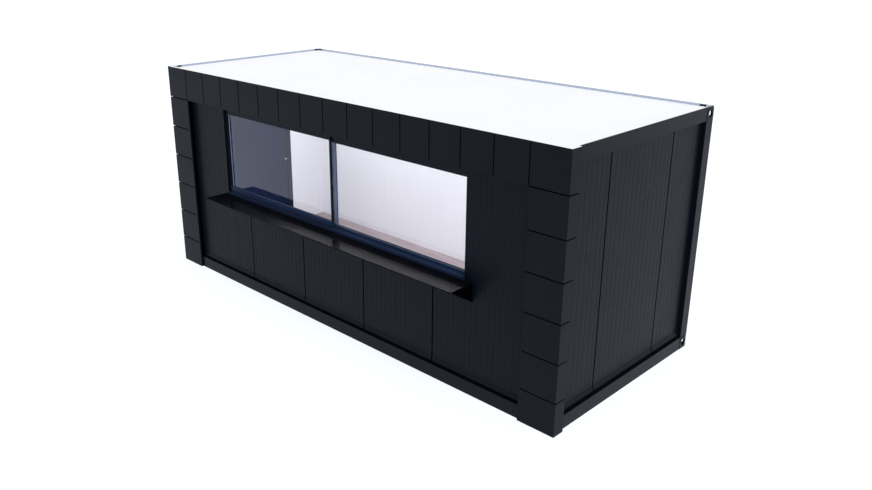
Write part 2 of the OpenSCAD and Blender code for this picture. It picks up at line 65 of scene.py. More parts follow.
class Shader:
    """A material with a Principled shader, and short ways to add and join nodes."""

    def __init__(self, name):
        self.material = bpy.data.materials.new(name)
        self.material.use_nodes = True
        self.tree = self.material.node_tree
        self.main = self.tree.nodes["Principled BSDF"]
        self.coords = self.tree.nodes.new("ShaderNodeTexCoord").outputs["Object"]

    def set(self, **values):
        """Constants on the shader's own sockets."""
        for key, value in values.items():
            self.main.inputs[key.replace("_", " ")].default_value = value
        return self

    def add(self, kind, constants=None, **properties):
        """A node with its properties, and constants on its inputs."""
        node = self.tree.nodes.new("ShaderNode" + kind)
        for key, value in properties.items():
            setattr(node, key, value)
        for key, value in (constants or {}).items():
            node.inputs[key].default_value = value
        return node

    def join(self, source, target):
        self.tree.links.new(source, target)

    def scaled(self, size):
        """Object coordinates scaled by three numbers."""
        node = self.add("Mapping", {"Scale": size})
        self.join(self.coords, node.inputs["Vector"])
        return node.outputs["Vector"]

    def noise(self, scale, detail=3.0, rough=0.5, stretch=None):
        node = self.add("TexNoise", {"Scale": scale, "Detail": detail, "Roughness": rough})
        self.join(self.scaled(stretch) if stretch else self.coords, node.inputs["Vector"])
        return node.outputs["Fac"]

    def ramp(self, source, stops):
        """A colour that goes through (place, colour) stops as the source goes from 0 to 1."""
        node = self.add("ValToRGB")
        elements = node.color_ramp.elements
        while len(elements) < len(stops):
            elements.new(0.5)
        for element, (place, colour) in zip(elements, stops):
            element.position = place
            element.color = (*colour, 1.0)
        self.join(source, node.inputs["Fac"])
        return node.outputs["Color"]

    def drift(self, source, low, high):
        """A colour between two tones, over most of a noise's values."""
        return self.ramp(source, [(NOISE_LOW, low), (NOISE_HIGH, high)])

    def spread(self, source, low, high, start=NOISE_LOW, end=NOISE_HIGH, **properties):
        """A number between low and high, as the source goes from start to end."""
        limits = {"From Min": start, "From Max": end, "To Min": low, "To Max": high}
        node = self.add("MapRange", limits, **properties)
        self.join(source, node.inputs["Value"])
        return node.outputs["Result"]

    def along(self, axis, start, end, low, high):
        """A number that eases from low to high between two places along an axis."""
        split = self.add("SeparateXYZ")
        self.join(self.coords, split.inputs["Vector"])
        return self.spread(split.outputs[axis], low, high, start, end, interpolation_type="SMOOTHSTEP")

    def mix(self, fac, a, b):
        """Two colours, each a socket or a constant, mixed by a socket."""
        node = self.add("Mix", data_type="RGBA")
        self.join(fac, node.inputs["Factor"])
        for value, key in ((a, COLOUR_A), (b, COLOUR_B)):
            if isinstance(value, tuple):
                node.inputs[key].default_value = (*value, 1.0)
            else:
                self.join(value, node.inputs[key])
        return node.outputs[COLOUR_OUT]

    def bump(self, source, height, strength):
        node = self.add("Bump", {"Distance": height, "Strength": strength})
        self.join(source, node.inputs["Height"])
        return node.outputs["Normal"]

    def finish(self, colour, rough=None, normal=None):
        for value, key in ((colour, "Base Color"), (rough, "Roughness"), (normal, "Normal")):
            if value is not None:
                self.join(value, self.main.inputs[key])
        return self.material


def coated(name, colour, rough, specular):
    """Powder coat on steel: faint drift of tone, fine speckle, orange peel and slightly uneven gloss."""
    s = Shader(name).set(Specular_IOR_Level=specular)
    tone = s.drift(s.noise(scale=1.1, rough=0.55), shade(colour, 0.88), shade(colour, 1.12))
    speckle = s.spread(s.noise(scale=900.0, detail=2.0), 0.0, 0.35, start=0.5, end=0.75)
    tone = s.mix(speckle, tone, shade(colour, 1.5))
    gloss = s.spread(s.noise(scale=6.0, detail=4.0, rough=0.6), rough - 0.03, rough + 0.035)
    peel = s.noise(scale=420.0, detail=2.0, rough=0.4)
    return s.finish(tone, gloss, s.bump(peel, height=0.00006, strength=0.35))


def two_tone(name, first, second, start, end, rough, specular, axis):
    """Coat that goes over from one tone to another between two places along an axis."""
    s = Shader(name).set(Specular_IOR_Level=specular)
    broad = s.noise(scale=3.0, rough=0.55)
    tones = [s.drift(broad, shade(colour, 0.9), shade(colour, 1.1)) for colour in (first, second)]
    tone = s.mix(s.along(axis, start, end, 0.0, 1.0), *tones)
    gloss = s.spread(s.noise(scale=6.0, detail=4.0), rough - 0.04, rough + 0.05)
    return s.finish(tone, gloss, s.bump(s.noise(scale=420.0, detail=2.0), height=0.0001, strength=0.3))


def ledge_gloss(name, colour, rough, specular, front, back):
    """Black gloss with a painted reflection: tinted pink, full at the front edge and eased out to none at the
    wall, which darkens the ledge towards the wall.
    """
    s = Shader(name).set(Specular_Tint=(1.0, 0.74, 0.95, 1.0))
    s.join(s.along("Y", front, back, specular, 0.0), s.main.inputs["Specular IOR Level"])
    tone = s.drift(s.noise(scale=1.4), shade(colour, 0.85), shade(colour, 1.15))
    gloss = s.spread(s.noise(scale=7.0, detail=4.0), rough - 0.03, rough + 0.04)
    return s.finish(tone, gloss, s.bump(s.noise(scale=300.0, detail=2.0), height=0.00004, strength=0.3))


def white_coat(name, colour, rough):
    """White coil coating: nearly even, with a soft drift of tone and a fine grain."""
    s = Shader(name).set(Specular_IOR_Level=0.4)
    tone = s.drift(s.noise(scale=0.9), shade(colour, 0.97), colour)
    gloss = s.spread(s.noise(scale=9.0), rough - 0.05, rough + 0.05)
    return s.finish(tone, gloss, s.bump(s.noise(scale=700.0, detail=2.0), height=0.00008, strength=0.3))


def laminate(name):
    """Wood-look laminate: a tone for each board, long grain and fine pores."""
    dark, middle, light = (0.197, 0.153, 0.157), (0.306, 0.251, 0.263), (0.394, 0.333, 0.347)
    dark_board = (0.251, 0.2, 0.208)
    s = Shader(name).set(Specular_IOR_Level=0.35)
    layout = {"Scale": 1.0, "Mortar Size": 0.0, "Brick Width": BOARD_LENGTH, "Row Height": BOARD_WIDTH,
              "Color1": (0.0, 0.0, 0.0, 1.0), "Color2": (1.0, 1.0, 1.0, 1.0)}
    board = s.add("TexBrick", layout, offset=BOARD_STAGGER, offset_frequency=2, squash=1.0)
    s.join(s.coords, board.inputs["Vector"])
    grain = s.noise(scale=3.0, detail=8.0, rough=0.62, stretch=(0.55, 16.0, 1.0))
    tone = s.ramp(grain, [(0.3, dark), (0.5, middle), (0.72, light)])
    tone = s.mix(s.spread(board.outputs["Color"], 0.0, 0.3, start=0.0, end=1.0), tone, dark_board)
    pores = s.noise(scale=60.0, detail=4.0, rough=0.6, stretch=(0.3, 10.0, 1.0))
    return s.finish(tone, s.spread(pores, 0.36, 0.52), s.bump(pores, height=0.0002, strength=0.4))


def metal(name, colour, rough, stretch):
    """Brushed or rolled metal, drawn along one direction."""
    s = Shader(name).set(Metallic=1.0)
    lines = s.noise(scale=26.0, detail=5.0, rough=0.6, stretch=stretch)
    tone = s.drift(lines, shade(colour, 0.82), colour)
    gloss = s.spread(lines, rough - 0.06, rough + 0.08)
    return s.finish(tone, gloss, s.bump(lines, height=0.00006, strength=0.4))


def galvanised(name):
    """Zinc coat with its spangle."""
    s = Shader(name).set(Metallic=1.0)
    cells = s.add("TexVoronoi", {"Scale": 60.0}, feature="F1")
    s.join(s.coords, cells.inputs["Vector"])
    tone = s.ramp(cells.outputs["Color"], [(0.2, (0.34, 0.35, 0.37)), (0.8, (0.52, 0.53, 0.55))])
    return s.finish(tone, s.spread(s.noise(scale=14.0), 0.42, 0.6))


def glass(name):
    """Clear float glass with a trace of dust."""
    s = Shader(name).set(Transmission_Weight=1.0, IOR=1.295)
    tone = s.drift(s.noise(scale=0.8, detail=2.0), (0.965, 0.975, 0.985), (0.98, 0.985, 0.99))
    return s.finish(tone, s.spread(s.noise(scale=5.0, detail=4.0), 0.0, 0.006))


def rubber(name):
    """Black rubber with a fine grain."""
    s = Shader(name).set(Specular_IOR_Level=0.3)
    grain = s.noise(scale=500.0)
    tone = s.drift(grain, (0.008, 0.008, 0.009), (0.016, 0.016, 0.018))
    return s.finish(tone, s.spread(grain, 0.5, 0.7), s.bump(grain, height=0.00015, strength=0.4))


ANTHRACITE = coated("anthracite_coat", (0.0031, 0.0051, 0.0086), rough=0.37, specular=0.073)
CLADDING = coated("cladding_coat", (0.0028, 0.0048, 0.0078), rough=0.4, specular=0.078)
FRAME = coated("frame_paint", (0.0034, 0.0053, 0.0086), rough=0.37, specular=0.086)
# Navy window frame: the sky-blue shade of the recess, painted on a frame that is dark like the walls
WINDOW_PAINTED_SHADE = coated("window_painted_shade", (0.012, 0.024, 0.062), rough=0.36, specular=0.06)
# Sash in two tones of painted shade: sky-blue shade on the bottom bar, near-black shade on the stiles and
# head above it
SASH_PAINTED_SHADE = two_tone("sash_painted_shade", (0.016, 0.03, 0.074), (0.007, 0.009, 0.014),
                     start=1.236, end=1.262, rough=0.36, specular=0.06, axis="Z")
# Navy sill: painted sky-blue shade of the window's recess
SILL_PAINTED_SHADE = coated("sill_painted_shade", (0.012, 0.021, 0.048), rough=0.6, specular=0.01)
# Counter ledge: its reflection is painted, faded out towards the wall
LEDGE = ledge_gloss("ledge_gloss", (0.0026, 0.003, 0.0044),
                    rough=0.2, specular=0.056, front=-1.305, back=-1.12)
# Near-black end plates with almost no reflection: painted shade on the ledge's shaded ends
LEDGE_ENDS_PAINTED_SHADE = coated("ledge_end_painted_shade", (0.0012, 0.0012, 0.0015), rough=0.3, specular=0.005)
DOORS = two_tone("door_coat", (0.0034, 0.0052, 0.0088), (0.0036, 0.0094, 0.0405),
                 start=-2.95, end=-2.925, rough=0.36, specular=0.035, axis="X")
ROOF = white_coat("roof_coat", (0.852, 0.85, 0.835), rough=0.5)
# Blue-grey: painted shade on the inner faces of the white rim
RIM_PAINTED_SHADE = white_coat("rim_painted_shade", (0.42, 0.48, 0.62), rough=0.5)
LINING = white_coat("lining_coat", (0.82, 0.825, 0.862), rough=0.42)
BOARDS = laminate("floor_laminate")
STEEL = metal("brushed_steel", (0.62, 0.63, 0.65), rough=0.3, stretch=(1.0, 1.0, 30.0))
ALUMINIUM = metal("mill_aluminium", (0.66, 0.67, 0.69), rough=0.36, stretch=(1.0, 30.0, 1.0))
ZINC = galvanised("galvanised_steel")
GLASS = glass("float_glass")
RUBBER = rubber("black_rubber")
# Matte black for the dark joints, and for the painted shadow line over the bottom rails
SEALANT_AND_PAINTED_SHADOW = coated("sealant_and_painted_shadow", (0.0016, 0.0017, 0.002), rough=0.8, specular=0.0)
# Pale lavender: painted highlight along the panes' edges
EDGE_PAINTED_HIGHLIGHT = coated("edge_painted_highlight", (0.165, 0.2, 0.31), rough=0.45, specular=0.1)

# Material of each slot, and of the nodes that differ from their slot's
BY_SLOT = {
    "frame_paint": FRAME, "galvanised": ZINC, "laminate": BOARDS, "wall_panel": ANTHRACITE,
    "roof_white": ROOF, "cladding": CLADDING, "window_bars": WINDOW_PAINTED_SHADE, "glazing": GLASS,
    "ledge_gloss": LEDGE, "door_paint": DOORS, "threshold": ALUMINIUM, "hinge_steel": STEEL,
}
BY_NODE = {
    "door_handles": DOORS, "sliding_sash": SASH_PAINTED_SHADE, "ledge_end_plates": LEDGE_ENDS_PAINTED_SHADE,
    "column_battens": SEALANT_AND_PAINTED_SHADOW, "fascia_batten": SEALANT_AND_PAINTED_SHADOW,
}
for part in frame["record"]["subparts"]:
    node = part["node"]
    slots = nodes[node].data.materials
    slots.clear()
    slots.append(BY_NODE.get(node, BY_SLOT[part["material_slot"]]))


# Mesh helpers

EDGE_SEGMENTS = 2


def soft_edges(obj, width, angle):
    """A bevel on the edges that are sharper than an angle in degrees."""
    bevel = obj.modifiers.new("edges", "BEVEL")
    bevel.width = width
    bevel.segments = EDGE_SEGMENTS
    bevel.limit_method = "ANGLE"
    bevel.angle_limit = math.radians(angle)


def piece(name, mesh, material, body=CABIN, bevel=0.0, smooth=False):
    """A new piece from a bmesh, riding on a body."""
    bmesh.ops.recalc_face_normals(mesh, faces=mesh.faces)
    data = bpy.data.meshes.new(name)
    mesh.to_mesh(data)
    mesh.free()
    data.materials.append(material)
    obj = bpy.data.objects.new(name, data)
    scene.collection.objects.link(obj)
    if smooth:
        data.polygons.foreach_set("use_smooth", [True] * len(data.polygons))
    if bevel:
        soft_edges(obj, bevel, angle=40)
    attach(obj, body)


def bridge(mesh, a, b):
    """Faces between two closed rings of as many points."""
    count = len(a)
    for i in range(count):
        j = (i + 1) % count
        mesh.faces.new((a[i], a[j], b[j], b[i]))


def prism(mesh, outline, axis, start, end):
    """A closed outline of pairs, extruded along an axis: (y, z) along x, (x, z) along y, (x, y) along z."""
    def ring(s):
        return [mesh.verts.new({"x": (s, u, v), "y": (u, s, v), "z": (u, v, s)}[axis]) for u, v in outline]
    first, last = ring(start), ring(end)
    mesh.faces.new(first)
    mesh.faces.new(last)
    bridge(mesh, first, last)


def slab(mesh, low, high, chamfer):
    """A flat board whose upper edges are chamfered."""
    (x0, y0, z0), (x1, y1, z1) = low, high

    def ring(c, z):
        corners = ((x0 + c, y0 + c), (x1 - c, y0 + c), (x1 - c, y1 - c), (x0 + c, y1 - c))
        return [mesh.verts.new((x, y, z)) for x, y in corners]
    foot, rim, top = ring(0.0, z0), ring(0.0, z1 - chamfer), ring(chamfer, z1)
    mesh.faces.new(foot[::-1])
    mesh.faces.new(top)
    bridge(mesh, foot, rim)
    bridge(mesh, rim, top)


def lathe(mesh, profile, centre, normal, sides):
    """A turned shape from (radius, height) pairs, standing on centre along normal."""
    turn = Vector(normal).to_track_quat("Z", "Y").to_matrix()
    angles = [2 * math.pi * i / sides for i in range(sides)]
    rings = []
    for radius, height in profile:
        points = [Vector((radius * math.cos(a), radius * math.sin(a), height)) for a in angles]
        rings.append([mesh.verts.new(Vector(centre) + turn @ point) for point in points])
    mesh.faces.new(rings[0])
    mesh.faces.new(rings[-1])
    for a, b in zip(rings, rings[1:]):
        bridge(mesh, a, b)


def loop(mesh, x, out, low, high, profile):
    """A mitred run round a rectangle at x, from (y, z) low to high.

    profile is pairs: towards the middle, and out along x.
    """
    outward = Vector((out, 0, 0))
    rings = []
    for y, z, in_y, in_z in ((low[0], low[1], 1, 1), (high[0], low[1], -1, 1),
                             (high[0], high[1], -1, -1), (low[0], high[1], 1, -1)):
        corner, inward = Vector((x, y, z)), Vector((0, in_y, in_z))
        rings.append([mesh.verts.new(corner + inward * u + outward * v) for u, v in profile])
    for a, b in zip(rings, rings[1:] + rings[:1]):
        bridge(mesh, a, b)


def spans(start, end, gaps):
    """The stretches from start to end that gaps leave."""
    marks = [start, *(v for gap in gaps for v in gap), end]
    return list(zip(marks[::2], marks[1::2]))


# Softened edges on the solids, by modifiers that leave their own meshes as they are

WELD = 0.00005
for node, width in (
    ("fascia_cassettes", 0.0016), ("left_column_cassettes", 0.0016), ("right_column_cassettes", 0.0016),
    ("counter_ledge", 0.0016), ("ledge_end_plates", 0.0008), ("window_frame", 0.002), ("sliding_sash", 0.002),
    ("door_leaf", 0.002), ("door_frame", 0.002), ("corner_posts", 0.004), ("lower_corner_castings", 0.003),
    ("upper_corner_castings", 0.003), ("door_handles", 0.0015),
):
    nodes[node].modifiers.new("weld", "WELD").merge_threshold = WELD
    soft_edges(nodes[node], width, angle=35)


# Inside: white linings, floor boards and ceiling sheets

SHEET = 0.004
RIB_PITCH, RIB_WIDTH, RIB_DEPTH = 0.1, 0.004, 0.0007
PANEL_RIBS, JOINT_DEPTH = 10, 0.003    # every tenth line is a panel joint
DATUM = {"x": 0.5, "y": 0.127}         # a panel joint along the length, and one across it
DOOR_GAP = 0.007                       # between the door frame and the lining behind it

REAR_LOW, REAR_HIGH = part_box("rear_wall")
IN_X, REAR_IN = REAR_HIGH.x, REAR_LOW.y
FRONT_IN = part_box("front_wall_left")[1].y
FLOOR_Z, HEAD_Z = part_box("floor_deck")[1].z, REAR_HIGH.z
OPEN_LOW, OPEN_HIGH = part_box("window_frame")
DOOR_LOW, DOOR_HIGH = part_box("door_frame")


def lined(u0, u1, datum):
    """The rib lines of a lining from u0 to u1, as (place, depth) pairs."""
    run = [(u0, 0.0)]
    n = math.ceil((u0 + RIB_WIDTH - datum) / RIB_PITCH)
    while datum + n * RIB_PITCH < u1 - RIB_WIDTH:
        u = datum + n * RIB_PITCH
        deep = JOINT_DEPTH if n % PANEL_RIBS == 0 else RIB_DEPTH
        run += [(u - RIB_WIDTH / 2, 0.0), (u - RIB_WIDTH / 4, deep),
                (u + RIB_WIDTH / 4, deep), (u + RIB_WIDTH / 2, 0.0)]
        n += 1
    return run + [(u1, 0.0)]


def lining(mesh, along, u0, u1, face, inward, z0=FLOOR_Z, z1=HEAD_Z):
    """A ribbed sheet on the inner face of a wall that runs along x or y."""
    outline = [(u, face + inward * (SHEET - deep)) for u, deep in lined(u0, u1, DATUM[along])]
    outline += [(u1, face), (u0, face)]
    if along == "y":
        outline = [(v, u) for u, v in outline]
    prism(mesh, outline, "z", z0, z1)


m = bmesh.new()
lining(m, "x", -IN_X, IN_X, REAR_IN, -1)
piece("rear_lining", m, LINING)

m = bmesh.new()
lining(m, "x", -IN_X, OPEN_LOW.x, FRONT_IN, 1)
lining(m, "x", OPEN_HIGH.x, IN_X, FRONT_IN, 1)
lining(m, "x", OPEN_LOW.x, OPEN_HIGH.x, FRONT_IN, 1, z1=OPEN_LOW.z)
lining(m, "x", OPEN_LOW.x, OPEN_HIGH.x, FRONT_IN, 1, z0=OPEN_HIGH.z)
piece("front_lining", m, LINING)

m = bmesh.new()
lining(m, "y", FRONT_IN + SHEET, REAR_IN - SHEET, IN_X, -1)
piece("right_lining", m, LINING)

m = bmesh.new()
lining(m, "y", FRONT_IN + SHEET, DOOR_LOW.y, -IN_X, 1)
lining(m, "y", DOOR_HIGH.y + DOOR_GAP, REAR_IN - SHEET, -IN_X, 1)
lining(m, "y", DOOR_LOW.y, DOOR_HIGH.y, -IN_X, 1, z0=DOOR_HIGH.z)
piece("left_lining", m, LINING)

# Laminate boards, laid along the length and staggered
BOARD_EDGE, SHORTEST_BOARD, BOARD_REST = 0.0008, 0.01, 0.001
FLOOR_X, FLOOR_Y0, FLOOR_Y1 = IN_X - SHEET, FRONT_IN + SHEET, REAR_IN - SHEET
m = bmesh.new()
row, y = 0, FLOOR_Y0
while y < FLOOR_Y1 - BOARD_REST:
    y1 = min(y + BOARD_WIDTH, FLOOR_Y1)
    x = -FLOOR_X - BOARD_LENGTH * ((row * BOARD_STAGGER) % 1.0)
    while x < FLOOR_X - BOARD_REST:
        x0, x1 = max(x, -FLOOR_X), min(x + BOARD_LENGTH, FLOOR_X)
        if x1 - x0 > SHORTEST_BOARD:
            slab(m, (x0, y, FLOOR_Z), (x1, y1, FLOOR_Z + BOARD_THICK), BOARD_EDGE)
        x += BOARD_LENGTH
    y += BOARD_WIDTH
    row += 1
piece("floor_boards", m, BOARDS)

# Ceiling sheets with open joints, under the roof panel
CEILING_SHEETS, CEILING_X, CEILING_INSET = 6, 2.845, 0.032
CEILING_THICK, CEILING_GAP, CEILING_EDGE = 0.003, 0.002, 0.0005
SHEET_LONG = 2 * CEILING_X / CEILING_SHEETS
ROOF_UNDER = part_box("roof_panel")[0].z
m = bmesh.new()
for i in range(CEILING_SHEETS):
    x = -CEILING_X + i * SHEET_LONG
    slab(m, (x + CEILING_GAP, FRONT_IN + CEILING_INSET, ROOF_UNDER - CEILING_THICK),
         (x + SHEET_LONG - CEILING_GAP, REAR_IN - CEILING_INSET, ROOF_UNDER), CEILING_EDGE)
piece("ceiling_sheets", m, LINING)


# Window

GASKET = 0.004
SASH_LOW, SASH_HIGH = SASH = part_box("sash_glass")
FIXED_LOW, FIXED_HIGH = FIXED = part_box("fixed_glass")
BARS_LOW, BARS_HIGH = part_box("sliding_sash")


def gasket(mesh, pane, y, out, sides, proud=0.004):
    """Rubber strips on one face of a pane, along its right, bottom or top edge."""
    low, high = pane
    y0, y1 = sorted((y, y + out * proud))
    runs = {
        "r": (high.x - GASKET, high.x, low.z, high.z),
        "b": (low.x, high.x, low.z, low.z + GASKET),
        "t": (low.x, high.x, high.z - GASKET, high.z),
    }
    c = GASKET * 0.3
    for side in sides:
        x0, x1, z0, z1 = runs[side]
        if side == "r":
            prism(mesh, [(x0, y0), (x1 - c, y0), (x1, y0 + c), (x1, y1), (x0, y1)], "z", z0, z1)
        else:
            prism(mesh, [(y0, z0), (y1, z0), (y1, z1), (y0 + c, z1), (y0, z1 - c)], "x", x0, x1)


m = bmesh.new()
gasket(m, SASH, SASH_LOW.y, -1, "bt")
gasket(m, SASH, SASH_HIGH.y, 1, "bt", proud=0.002)
gasket(m, FIXED, FIXED_LOW.y, -1, "rb")
gasket(m, FIXED, FIXED_HIGH.y, 1, "rbt")
piece("glazing_gaskets", m, RUBBER)


def bead(mesh, y0, y1, z0, z1, chamfer, x0, x1):
    """A bar along x whose lower front edge is chamfered."""
    prism(mesh, [(y0, z0 + chamfer), (y0 + chamfer, z0), (y1, z0), (y1, z1), (y0, z1)], "x", x0, x1)


# Deep bead over the head of the fixed pane, and its cover on the frame, in the sash's near-black painted
# shade
HEAD_FOOT = FIXED_HIGH.z - 0.0375
m = bmesh.new()
bead(m, y0=OPEN_LOW.y + 0.002, y1=FIXED_LOW.y - 0.0003, z0=HEAD_FOOT, z1=FIXED_HIGH.z,
     chamfer=0.003, x0=FIXED_LOW.x + 0.052, x1=FIXED_HIGH.x)
bead(m, y0=OPEN_LOW.y - 0.002, y1=OPEN_LOW.y - 0.0002, z0=HEAD_FOOT, z1=OPEN_HIGH.z - 0.001,
     chamfer=0.001, x0=BARS_HIGH.x + 0.002, x1=OPEN_HIGH.x - 0.001)
piece("head_bead", m, SASH_PAINTED_SHADE)

# Pale strips on the panes, down the sash's stile and over the middle bar: painted highlights of the lit glass
# edges.
# Their outlines are (from the pane's edge, proud of it) pairs
STILE_HIGHLIGHT = [(0.012, 0.0008), (0.014, 0.0012), (0.029, 0.0012), (0.031, 0.0), (0.012, 0.0)]
MIDDLE_HIGHLIGHT = [(0.015, 0.001), (0.059, 0.001), (0.062, 0.0), (0.015, 0.0)]
m = bmesh.new()
prism(m, [(SASH_LOW.x + u, SASH_LOW.y - d) for u, d in STILE_HIGHLIGHT],
      "z", SASH_LOW.z + GASKET, SASH_HIGH.z - GASKET)
prism(m, [(FIXED_LOW.x + u, FIXED_LOW.y - d) for u, d in MIDDLE_HIGHLIGHT],
      "z", FIXED_LOW.z + GASKET, HEAD_FOOT - 0.0005)
piece("edge_painted_highlights", m, EDGE_PAINTED_HIGHLIGHT)

# Rail that the sash runs on, in the gap over the sill
SILL_Z = OPEN_LOW.z
RAIL_FOOT, RAIL_WEB = 0.009, 0.002      # half widths
y = (BARS_LOW.y + BARS_HIGH.y) / 2
m = bmesh.new()
prism(m, [(y - RAIL_FOOT, SILL_Z), (y + RAIL_FOOT, SILL_Z), (y + RAIL_FOOT, SILL_Z + 0.002),
          (y + RAIL_WEB, SILL_Z + 0.003), (y + RAIL_WEB, BARS_LOW.z), (y - RAIL_WEB, BARS_LOW.z),
          (y - RAIL_WEB, SILL_Z + 0.003), (y - RAIL_FOOT, SILL_Z + 0.002)],
      "x", OPEN_LOW.x + 0.004, BARS_HIGH.x)
piece("sash_rail", m, RUBBER)

# Folded flashing from the ledge up the wall and over the sill, in a navy that paints the sky-blue shade of
# the window's recess
LEDGE_LOW, LEDGE_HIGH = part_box("counter_ledge")
WALL_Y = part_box("front_wall_below")[0].y
SILL_FACE = WALL_Y - 0.0015
m = bmesh.new()
prism(m, [(SILL_FACE, LEDGE_HIGH.z), (WALL_Y, LEDGE_HIGH.z), (WALL_Y, SILL_Z), (OPEN_LOW.y, SILL_Z),
          (OPEN_LOW.y, SILL_Z + 0.0012), (SILL_FACE, SILL_Z + 0.0006)],
      "x", OPEN_LOW.x + 0.001, OPEN_HIGH.x - 0.001)
piece("sill_flashing", m, SILL_PAINTED_SHADE)


# Wall faces. Outlines on a wall are (along the wall, depth into it) pairs

CLEAR = 0.001
WALL_LOW, WALL_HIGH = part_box("right_wall")
WALL_X, REAR_Y = WALL_HIGH.x, REAR_HIGH.y
WALL_FOOT, WALL_HEAD = WALL_LOW.z + CLEAR, WALL_HIGH.z - CLEAR
MIDDLE = (WALL_LOW.y + WALL_HIGH.y) / 2
END_PANEL = 1.06
END_JOINTS = (MIDDLE - END_PANEL / 2, MIDDLE + END_PANEL / 2)
FRONT_JOINTS = (-1.5, -0.5, 0.5, 1.5)

# Second coat in the grooves of the end walls, which leaves them half as deep
GROOVES, FIRST_GROOVE, LAST_GROOVE = 14, -8, 21    # on each panel, and counted from the first joint
GROOVE_INSET, OVER_DOOR = 0.03, 2.2
GROOVE_FILL = [(-0.0099, 0.0), (-0.006, 0.0008), (0.006, 0.0008), (0.0099, 0.0),
               (0.006, 0.00148), (-0.006, 0.00148)]
m = bmesh.new()
for n in range(FIRST_GROOVE, LAST_GROOVE + 1):
    y = END_JOINTS[0] + n * END_PANEL / GROOVES
    if n % GROOVES == 0 or not WALL_LOW.y + GROOVE_INSET < y < WALL_HIGH.y - GROOVE_INSET:
        continue
    left_foot = OVER_DOOR if 0 < n < GROOVES else WALL_FOOT
    prism(m, [(WALL_X - d, y + u) for u, d in GROOVE_FILL], "z", WALL_FOOT, WALL_HEAD)
    prism(m, [(-WALL_X + d, y + u) for u, d in GROOVE_FILL], "z", left_foot, WALL_HEAD)
piece("groove_coat", m, ANTHRACITE)

# Black channels in the panel joints of the right end wall and under the ledge, with lips on the wall's face
CHANNEL = [(-0.0077, -0.0005), (-0.0051, -0.0005), (-0.0051, 0.0155), (0.0051, 0.0155),
           (0.0051, -0.0005), (0.0077, -0.0005), (0.0077, 0.0), (0.0059, 0.0),
           (0.0059, 0.0195), (-0.0059, 0.0195), (-0.0059, 0.0), (-0.0077, 0.0)]
m = bmesh.new()
for y in END_JOINTS:
    prism(m, [(WALL_X - d, y + u) for u, d in CHANNEL], "z", WALL_FOOT, WALL_HEAD)
for x in FRONT_JOINTS:
    prism(m, [(x + u, WALL_Y + d) for u, d in CHANNEL], "z", WALL_FOOT, LEDGE_LOW.z - CLEAR)
piece("joint_strips", m, SEALANT_AND_PAINTED_SHADOW)

# Sloping drip flashing round the foot of the walls, over the lip of the bottom rails.
# Its outline is (out of the wall, over the rail) pairs
RAIL_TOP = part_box("front_bottom_rail")[1].z
FOOT_DRIP = [(0.0, 0.05), (0.0012, 0.0505), (0.014, 0.008), (0.014, 0.005), (0.0125, 0.005), (0.0, 0.045)]
BETWEEN_COLUMNS, JOINT_HALF = 2.622, 0.007
END_Y0, END_Y1 = WALL_LOW.y + CLEAR, WALL_HIGH.y - CLEAR
GAPS_X = [(x - JOINT_HALF, x + JOINT_HALF) for x in FRONT_JOINTS]
GAPS_Y = [(y - JOINT_HALF, y + JOINT_HALF) for y in END_JOINTS]
DOORWAY = [(DOOR_LOW.y - CLEAR, DOOR_HIGH.y + CLEAR)]
m = bmesh.new()
for face, out, axis, runs in (
    (WALL_Y, -1, "x", spans(-BETWEEN_COLUMNS, BETWEEN_COLUMNS, GAPS_X)),
    (REAR_Y, 1, "x", spans(-IN_X + CLEAR, IN_X - CLEAR, GAPS_X)),
    (WALL_X, 1, "y", spans(END_Y0, END_Y1, GAPS_Y)),
    (-WALL_X, -1, "y", spans(END_Y0, END_Y1, DOORWAY)),
):
    for run in runs:
        prism(m, [(face + out * u, RAIL_TOP + v) for u, v in FOOT_DRIP], axis, *run)
piece("foot_flashing", m, ANTHRACITE)

# Fillets that close the outermost joints of the front wall
FILLET = [(-0.0059, 0.0008), (-0.003, 0.0014), (0.003, 0.0014), (0.0059, 0.0008),
          (0.0059, 0.0195), (-0.0059, 0.0195)]
m = bmesh.new()
for x in (-2.5, 2.5):
    prism(m, [(x + u, WALL_Y + d) for u, d in FILLET], "z", WALL_FOOT, WALL_HEAD)
piece("joint_fillets", m, ANTHRACITE)

# Cover plates on the rear faces of the rear posts, between the castings
POST_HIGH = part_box("corner_posts")[1]
POST_COVER_Y = POST_HIGH.y + 0.015
SAME_PLANE, CAST_GAP = 0.0001, 0.002
INNER_CHAMFER, OUTER_CHAMFER = 0.003, 0.002
POST_INNER = min(v.co.x for v in nodes["corner_posts"].data.vertices
                 if v.co.x > 0 and v.co.y > POST_HIGH.y - SAME_PLANE)
z0, z1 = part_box("lower_corner_castings")[1].z + CAST_GAP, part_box("upper_corner_castings")[0].z - CAST_GAP
m = bmesh.new()
for side in (-1, 1):
    a, b = side * (POST_INNER + 0.004), side * (POST_HIGH.x - 0.0005)
    prism(m, [(a, POST_HIGH.y), (a, POST_COVER_Y - INNER_CHAMFER), (a + side * INNER_CHAMFER, POST_COVER_Y),
              (b - side * OUTER_CHAMFER, POST_COVER_Y), (b, POST_COVER_Y - OUTER_CHAMFER), (b, POST_HIGH.y)],
          "z", z0, z1)
piece("post_covers", m, FRAME)

# Bottom rails: the axis each runs along, the side it faces, its outer face, its run, its foot and its top
RAILS = []
for node, axis, out in (("front_bottom_rail", "x", -1), ("rear_bottom_rail", "x", 1),
                        ("left_bottom_rail", "y", -1), ("right_bottom_rail", "y", 1)):
    low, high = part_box(node)
    outer = low if out < 0 else high
    face, run = (outer.y, (low.x, high.x)) if axis == "x" else (outer.x, (low.y, high.y))
    RAILS.append((axis, out, face, run, low.z, high.z))

